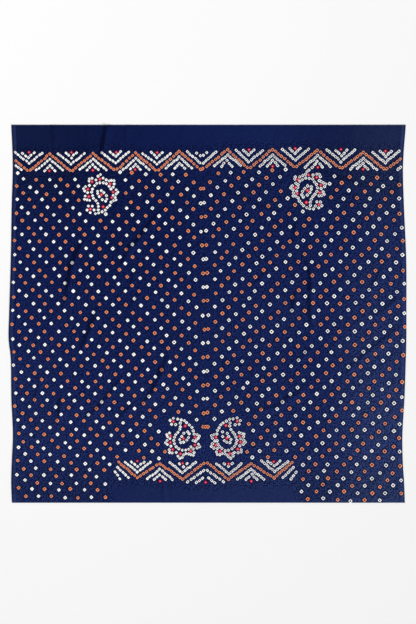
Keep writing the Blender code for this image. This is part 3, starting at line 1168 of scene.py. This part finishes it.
# How pale, dull or mottled the ground is: by how much more as x or y goes from start to end
Fade = namedtuple("Fade", "start end change")
# The ground's paleness set here is a painted sheen from the low light on the right, paler mostly towards
# the lower right
PALE_LEAST = 0.04
PALE_DOWN = Fade(0.28, -0.42, 0.38)
PALE_RIGHT = Fade(-0.26, 0.20, 0.22)
PALE_RIGHT_LOW = Fade(0.06, -0.18, -0.16)
PALE_EDGE = Fade(0.28, 0.50, 0.26)  # along the right selvedge
PALE_EDGE_LOW = Fade(0.05, -0.30, 0.34)
PALE_LEFT = Fade(-0.32, -0.50, 0.08)
PALE_FOOT = Fade(-0.36, -0.46, 0.12)
PALE_FOOT_RIGHT = (-0.10, 0.10)
PALE_MIDDLE = 0.333  # how pale the ground is where it is plain NAVY
CLOUDS, CLOUD_SHADE = Noise(7.0, 3.0), (0.20, -0.10)
DULL_UPPER = (0.20, 0.40)
DULL_OUTER = Fade(0.10, 0.42, 0.75)
DULL_LOWER = Fade(-0.38, -0.47, 0.45)
MOTTLE, MOTTLE_SHADE = Noise(75.0, 4.0, 0.6), (0.30, -0.24)

# The crinkle, in millimetres from crest to trough at most
FOLD_DEPTH, GRAIN_DEPTH = 4.5, 4.0
FOLD_NOISE, GRAIN_NOISE = Noise(105.0, 1.0), Noise(290.0, 1.0)
FOLD_SLANTS = (-28, 30)  # in degrees
FOLD_DRAW = (1.0, 0.3, 1.0)  # the folds are drawn out along the cloth
GRAIN_EDGE = (0.36, 0.64)
TIED_GROUND = Fade(0.030, 0.016, 0.75)  # it is strong near the knots, and weak on the plain ends
OFF_KNOT = Fade(0.002, 0.008, 0.75)
CRINKLE_LEAST = 0.25

Bump = namedtuple("Bump", "distance strength")
CRINKLE_BUMP, CREASE_BUMP, WEAVE_BUMP = Bump(0.001, 1.0), Bump(0.00035, 0.5), Bump(0.00008, 0.35)

SELVEDGE_LINE = 0.0074  # how far in the tighter, paler threads lie
SELVEDGE_THREADS = Fade(0.0052, 0.0016, 0.45)
VERY_EDGE = Fade(0.0044, 0.0018, 0.35)


def shader_group(name, inputs, outputs):
    """An empty shader group; an input is a vector where it has no number to start from."""
    group = bpy.data.node_groups.new(name, "ShaderNodeTree")
    for label, value in inputs.items():
        kind = "NodeSocketVector" if value is None else "NodeSocketFloat"
        socket = group.interface.new_socket(label, in_out="INPUT", socket_type=kind)
        if value is not None:
            socket.default_value = value
    for label in outputs:
        group.interface.new_socket(label, in_out="OUTPUT", socket_type="NodeSocketFloat")
    return group, add_node(group, "NodeGroupInput").outputs


def faded(tree, value, fade, base=0.0):
    """base, and up to fade.change more as the value goes from fade.start to fade.end."""
    share = smooth_range(tree, value, fade.start, fade.end)
    return math_node(tree, "MULTIPLY_ADD", share, fade.change, base)


def noise_at(tree, place, kind, output="Fac"):
    inputs = {"Vector": place, "Scale": kind.scale, "Detail": kind.detail, "Roughness": kind.roughness}
    return add_node(tree, "ShaderNodeTexNoise", inputs).outputs[output]


def strayed(tree, vector, place, kind, reach):
    """The vector moved a little at random, by up to half the reach each way."""
    stray = vector_node(tree, "SUBTRACT", noise_at(tree, place, kind, "Color"), (0.5, 0.5, 0.5))
    return vector_node(tree, "ADD", vector, vector_node(tree, "MULTIPLY", stray, (reach, reach, reach)))


def turned(tree, vector, angle):
    inputs = {"Vector": vector, "Angle": angle}
    node = add_node(tree, "ShaderNodeVectorRotate", inputs, rotation_type="Z_AXIS")
    return node.outputs["Vector"]


def axes_of(tree, vector):
    node = add_node(tree, "ShaderNodeSeparateXYZ", {"Vector": vector})
    return node.outputs["X"], node.outputs["Y"]


def drawn_axes(tree, x, y, drawn):
    """A dot's own x and y, where it is drawn out up to the right (+) or down to the right (-)."""
    upward = math_node(tree, "MULTIPLY", math_node(tree, "ADD", x, y), 0.5)
    downward = math_node(tree, "MULTIPLY", math_node(tree, "SUBTRACT", x, y), 0.5)
    up_stretch = math_node(tree, "ADD", math_node(tree, "MAXIMUM", drawn, 0.0), 1.0)
    down_stretch = math_node(tree, "SUBTRACT", 1.0, math_node(tree, "MINIMUM", drawn, 0.0))
    upward = math_node(tree, "DIVIDE", upward, up_stretch)
    downward = math_node(tree, "DIVIDE", downward, down_stretch)
    return math_node(tree, "ADD", upward, downward), math_node(tree, "SUBTRACT", upward, downward)


def tied_dot_group():
    """The undyed diamond that a knot leaves: where it is, its middle, and its dark line."""
    inputs = {"Place": None, "Centre": None, "Size": FIELD_SIZE, "Turn": 0.0, "Clear": 0.5, "Drawn": 0.0}
    outputs = ("Dot", "Dyed", "Heart", "Middle", "Line", "Crease")
    group, given = shader_group("tied_dot", inputs, outputs)
    offset = vector_node(group, "SUBTRACT", given["Place"], given["Centre"])
    offset = strayed(group, offset, given["Place"], RAGGED, RAGGED_REACH)
    x, y = axes_of(group, turned(group, offset, given["Turn"]))
    angle = math_node(group, "ARCTAN2", y, x)
    sides = []
    for side in drawn_axes(group, x, y, given["Drawn"]):
        sides.append(math_node(group, "POWER", math_node(group, "ABSOLUTE", side), DOT_POWER))
    reach = math_node(group, "POWER", math_node(group, "ADD", *sides), 1 / DOT_POWER)
    share = math_node(group, "DIVIDE", reach, given["Size"])
    dot = smooth_range(group, share, *DOT_EDGE)
    core = math_node(group, "MULTIPLY_ADD", given["Clear"], -MIDDLE_GROWTH, share)
    middle = smooth_range(group, core, *MIDDLE_EDGE)
    off_dot = math_node(group, "SUBTRACT", 1.0, dot)
    spokes = math_node(group, "SINE", math_node(group, "MULTIPLY", angle, CREASES))
    outer, inner = (smooth_range(group, share, *edge) for edge in (CREASE_OUTER, CREASE_INNER))
    results = {
        "Dot": dot,
        "Dyed": smooth_range(group, share, *DYED_EDGE),
        "Heart": smooth_range(group, share, *HEART_EDGE),
        "Middle": math_node(group, "MULTIPLY", middle, given["Clear"]),
        "Line": math_node(group, "MULTIPLY", smooth_range(group, share, *LINE_EDGE), off_dot),
        "Crease": math_node(group, "MULTIPLY", spokes, math_node(group, "MULTIPLY", outer, inner)),
    }
    add_node(group, "NodeGroupOutput", results)
    return group


def plain_weave_group():
    """Threads over and under each other: their height, and how much each took the dye."""
    group, given = shader_group("plain_weave", {"Place": None, "Thread": THREAD}, ("Height", "Take"))
    place = strayed(group, given["Place"], given["Place"], THREAD_WANDER, WANDER_REACH)
    waves = []
    for along in axes_of(group, place):
        turns = math_node(group, "DIVIDE", along, given["Thread"])
        waves.append(math_node(group, "SINE", math_node(group, "MULTIPLY", turns, math.pi)))
    warp, weft = (math_node(group, "ABSOLUTE", wave) for wave in waves)
    over = math_node(group, "GREATER_THAN", math_node(group, "MULTIPLY", *waves), 0.0)
    height = math_node(group, "MULTIPLY_ADD", math_node(group, "SUBTRACT", warp, weft), over, weft)
    slub = noise_at(group, given["Place"], SLUB)
    tone = math_node(group, "MULTIPLY_ADD", height, THREAD_TAKE, slub)
    add_node(group, "NodeGroupOutput", {"Height": height, "Take": tone})
    return group


def dye_and_sheen_group():
    """How pale the ground is at a place, from 0, deepest, to 1, palest: a painted sheen towards the lower
    right, with clouds at random.
    """
    group, given = shader_group("dye_and_sheen", {"Place": None}, ("Sheen_And_Clouds", "Dull", "Mottle"))
    x, y = axes_of(group, given["Place"])
    rightward = faded(group, y, PALE_RIGHT_LOW, PALE_RIGHT.change)
    at_edge = faded(group, y, PALE_EDGE_LOW, PALE_EDGE.change)
    at_foot = math_node(group, "MULTIPLY", smooth_range(group, x, *PALE_FOOT_RIGHT), PALE_FOOT.change)
    pale = faded(group, y, PALE_DOWN, PALE_LEAST)
    pale = faded(group, x, PALE_RIGHT._replace(change=rightward), pale)
    pale = faded(group, x, PALE_EDGE._replace(change=at_edge), pale)
    pale = faded(group, x, PALE_LEFT, pale)
    pale = faded(group, y, PALE_FOOT._replace(change=at_foot), pale)
    clouds = math_node(group, "MULTIPLY_ADD", noise_at(group, given["Place"], CLOUDS), *CLOUD_SHADE)
    pale = add_node(group, "ShaderNodeClamp", {"Value": math_node(group, "ADD", pale, clouds)})
    dull = faded(group, math_node(group, "ABSOLUTE", x), DULL_OUTER, 1 - DULL_OUTER.change)
    dull = math_node(group, "MULTIPLY", dull, smooth_range(group, y, *DULL_UPPER))
    dull = faded(group, y, DULL_LOWER, dull)
    mottle = noise_at(group, given["Place"], MOTTLE)
    results = {"Sheen_And_Clouds": pale.outputs["Result"], "Dull": dull, "Mottle": mottle}
    add_node(group, "NodeGroupOutput", results)
    return group


def crinkle_group():
    """The crinkle that the tying left between the knots: short slanting folds and grain."""
    group, given = shader_group("crinkle", {"Place": None, "Centre": None}, ("Height", "Grain", "Tied"))
    folds = []
    for slant in FOLD_SLANTS:
        aslant = turned(group, given["Place"], math.radians(slant))
        folds.append(noise_at(group, vector_node(group, "MULTIPLY", aslant, FOLD_DRAW), FOLD_NOISE))
    grain = noise_at(group, given["Place"], GRAIN_NOISE)
    apart = vector_node(group, "DISTANCE", given["Place"], given["Centre"])
    tied = faded(group, apart, TIED_GROUND, CRINKLE_LEAST)
    off_knot = faded(group, apart, OFF_KNOT, CRINKLE_LEAST)
    both_folds = math_node(group, "ADD", math_node(group, "ADD", *folds), -1.0)
    height = math_node(group, "MULTIPLY", both_folds, FOLD_DEPTH)
    grain_height = math_node(group, "ADD", grain, -0.5)
    height = math_node(group, "MULTIPLY_ADD", grain_height, GRAIN_DEPTH, height)
    height = math_node(group, "MULTIPLY", height, math_node(group, "MULTIPLY", tied, off_knot))
    results = {"Height": height, "Grain": smooth_range(group, grain, *GRAIN_EDGE), "Tied": tied}
    add_node(group, "NodeGroupOutput", results)
    return group


def mix_colours(tree, share, first, second, kind="MIX"):
    """A colour mix of two sockets or plain colours, as its output socket."""
    inputs = {0: share, 6: first, 7: second}  # the node's sockets for a share and two colours
    node = add_node(tree, "ShaderNodeMix", inputs, data_type="RGBA", blend_type=kind, clamp_factor=True)
    return node.outputs[2]


def cloth_mark(tree, name, output="Fac"):
    """What was written on the cloth at each place under that name."""
    settings = {"attribute_type": "GEOMETRY", "attribute_name": name}
    return add_node(tree, "ShaderNodeAttribute", **settings).outputs[output]


def dyed_ground(tree, tone, crinkle, dot):
    """The navy ground: paler or deeper by place, crinkled with painted shade and sheen, and gathered
    round each dot.
    """
    # From deepest to palest navy: a painted sheen, paler towards the lower right
    deeper = math_node(tree, "MULTIPLY", tone["Sheen_And_Clouds"], 1 / PALE_MIDDLE)
    gain = 1 / (1 - PALE_MIDDLE)
    paler = math_node(tree, "MULTIPLY_ADD", tone["Sheen_And_Clouds"], gain, -PALE_MIDDLE * gain)
    ground = mix_colours(tree, deeper, NAVY_DEEP, NAVY)
    ground = mix_colours(tree, paler, ground, NAVY_IN_SHEEN)
    ground = mix_colours(tree, tone["Dull"], ground, DULL_TONE, "MULTIPLY")
    # Painted shade where the crinkle's grain lies low and painted sheen on its crests, strongest near the
    # knots
    uneven = math_node(tree, "ADD", crinkle["Grain"], -0.5)
    uneven = math_node(tree, "MULTIPLY_ADD", uneven, crinkle["Tied"], 0.5)
    shaded = mix_colours(tree, 1.0, ground, SHADED_TONE, "MULTIPLY")
    sheened = mix_colours(tree, 1.0, ground, SHEEN_TONE, "MULTIPLY")
    ground = mix_colours(tree, uneven, shaded, sheened)
    gathered = math_node(tree, "MULTIPLY", dot["Line"], GATHERED)
    ground = mix_colours(tree, gathered, ground, NAVY_GATHERED)
    inset = cloth_mark(tree, "from_selvedge")
    off_line = math_node(tree, "ABSOLUTE", math_node(tree, "SUBTRACT", inset, SELVEDGE_LINE))
    ground = mix_colours(tree, faded(tree, off_line, SELVEDGE_THREADS), ground, SELVEDGE_NAVY)
    return mix_colours(tree, faded(tree, inset, VERY_EDGE), ground, NAVY_GATHERED)


def undyed_dot(tree, tone, dot, dye):
    """A dot's colour: white, or orange or crimson with its own deeper heart."""
    # The white dots are painted whiter in the sheen towards the lower right
    white = mix_colours(tree, tone["Sheen_And_Clouds"], COTTON_WHITE, COTTON_WHITE_IN_SHEEN)
    orange = mix_colours(tree, dot["Dyed"], ORANGE_RIM, ORANGE_DYE)
    crimson = mix_colours(tree, dot["Heart"], CRIMSON_DYE, CRIMSON_HEART)
    orange_share = math_node(tree, "GREATER_THAN", dye, (WHITE + ORANGE) / 2)
    crimson_share = math_node(tree, "GREATER_THAN", dye, (ORANGE + CRIMSON) / 2)
    core = mix_colours(tree, orange_share, WHITE_CORE, ORANGE_CORE)
    tied = mix_colours(tree, orange_share, white, orange)
    tied = mix_colours(tree, dot["Middle"], tied, core)
    return mix_colours(tree, crimson_share, tied, crimson)


def bumped(tree, height, bump, under=None):
    """A normal pushed in and out by a height, over the one under it."""
    inputs = {"Height": height, "Distance": bump.distance, "Strength": bump.strength}
    if under is not None:
        inputs["Normal"] = under
    return add_node(tree, "ShaderNodeBump", inputs).outputs["Normal"]


def dyed_cotton():
    material = plain_finish("dyed_cotton", COTTON_FINISH)
    tree = material.node_tree
    shader = tree.nodes["Principled BSDF"].inputs
    place = add_node(tree, "ShaderNodeTexCoord").outputs["Object"]
    flat = vector_node(tree, "MULTIPLY", place, (1, 1, 0))
    centre = cloth_mark(tree, "knot_centre", "Vector")
    marks = {name: cloth_mark(tree, "knot_" + name) for name in KNOT_MARKS}

    def outputs_of(group, **inputs):
        return add_node(tree, "ShaderNodeGroup", {"Place": flat, **inputs}, node_tree=group).outputs

    dot_marks = {name.capitalize(): marks[name] for name in KNOT_MARKS if name != "dye"}
    dot = outputs_of(tied_dot_group(), Centre=centre, **dot_marks)
    weave = outputs_of(plain_weave_group())
    tone = outputs_of(dye_and_sheen_group())
    crinkle = outputs_of(crinkle_group(), Centre=centre)

    ground = dyed_ground(tree, tone, crinkle, dot)
    cloth = mix_colours(tree, dot["Dot"], ground, undyed_dot(tree, tone, dot, marks["dye"]))
    off_dot = math_node(tree, "SUBTRACT", 1.0, dot["Dot"])
    mottled = math_node(tree, "MULTIPLY_ADD", tone["Mottle"], *MOTTLE_SHADE)
    mottled = math_node(tree, "MULTIPLY_ADD", mottled, off_dot, 1.0)
    threads = math_node(tree, "MULTIPLY_ADD", weave["Take"], *WEAVE_SHADE)
    shade = math_node(tree, "MULTIPLY", mottled, threads)
    grey = add_node(tree, "ShaderNodeCombineColor", {"Red": shade, "Green": shade, "Blue": shade})
    cloth = mix_colours(tree, 1.0, cloth, grey.outputs["Color"], "MULTIPLY")
    tree.links.new(cloth, shader["Base Color"])

    crinkled = bumped(tree, crinkle["Height"], CRINKLE_BUMP)
    creased = bumped(tree, dot["Crease"], CREASE_BUMP, crinkled)
    woven = bumped(tree, weave["Height"], WEAVE_BUMP, creased)
    tree.links.new(woven, shader["Normal"])
    return material


# ---- The cloth, tied, dyed and laid out ----------------------------------------------
# The sheet with a pucker at every knot and its dyes on it, opened out again by hand after
# the last dip. It lies loose on the table with its face up, and nothing holds it down.

PUCKER_HEIGHT = 0.0009
PUCKER_FOOT = 0.0075
PUCKER_TIP = 0.0010
SHARPEST_SOFT_EDGE = math.radians(50)

sheet_mesh, sheet_flat, back_start = make_sheet()
lay_bake_map(sheet_mesh, sheet_flat, back_start)
cloud = knot_cloud()
pucker = {
    "Knots": cloud,
    "Pucker Height": PUCKER_HEIGHT,
    "Foot Radius": PUCKER_FOOT,
    "Tip Radius": PUCKER_TIP,
    "Cotton": dyed_cotton(),
}
cloth = with_nodes(sheet_mesh, "bandhani_sheet", tied_knots_tree(), pucker)
bpy.data.objects.remove(cloud, do_unlink=True)
cloth.data.attributes.remove(cloth.data.attributes["on_face"])
cloth.data.shade_smooth()
cloth.data.set_sharp_from_angle(angle=SHARPEST_SOFT_EDGE)
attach(cloth, "root")
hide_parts("bandhani_cloth")


# ---- The light and the camera --------------------------------------------------------
# A pale room, one broad soft light overhead on the left and a second, stronger one low on
# the right, and a long lens that looks straight down.

ROOM_LIGHT = 0.30
OVERHEAD_PLACE = (-1.6, 1.6, 4.2)
OVERHEAD_SIZE, OVERHEAD_POWER = 2.6, 60
LOW_PLACE = (3.0, -3.6, 3.1)
LOW_STRENGTH = 3.05
LOW_SPREAD = math.radians(16)
VIEW_HEIGHT = 1.6848  # of the view on the table
VIEW_MIDDLE = (0.0011, 0.0049)
CAMERA_HEIGHT = 7.0
SENSOR = 36.0

world = bpy.data.worlds.new("studio")
world.use_nodes = True
background = world.node_tree.nodes["Background"].inputs
background["Color"].default_value = (1, 1, 1, 1)
background["Strength"].default_value = ROOM_LIGHT
bpy.context.scene.world = world


def aim_light(name, data, place):
    """Puts a light at a place, facing the middle of the cloth."""
    light = bpy.data.objects.new(name, data)
    light.location = place
    light.rotation_euler = Vector(place).to_track_quat("Z", "Y").to_euler()
    bpy.context.scene.collection.objects.link(light)


overhead = bpy.data.lights.new("overhead", "AREA")
overhead.size = OVERHEAD_SIZE
overhead.energy = OVERHEAD_POWER
aim_light("overhead", overhead, OVERHEAD_PLACE)
low_right = bpy.data.lights.new("low_right", "SUN")
low_right.energy = LOW_STRENGTH
low_right.angle = LOW_SPREAD
aim_light("low_right", low_right, LOW_PLACE)

lens = bpy.data.cameras.new("camera")
lens.sensor_fit = "VERTICAL"
lens.sensor_height = SENSOR
lens.lens = SENSOR * CAMERA_HEIGHT / VIEW_HEIGHT
camera = bpy.data.objects.new("camera", lens)
camera.location = (*VIEW_MIDDLE, CAMERA_HEIGHT)
bpy.context.scene.collection.objects.link(camera)
bpy.context.scene.camera = camera
bpy.context.scene.view_settings.view_transform = "Standard"

boxes = {"cad": cad_bounds, "visual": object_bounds()}
{name: [list(corner) for corner in box] for name, box in boxes.items()}
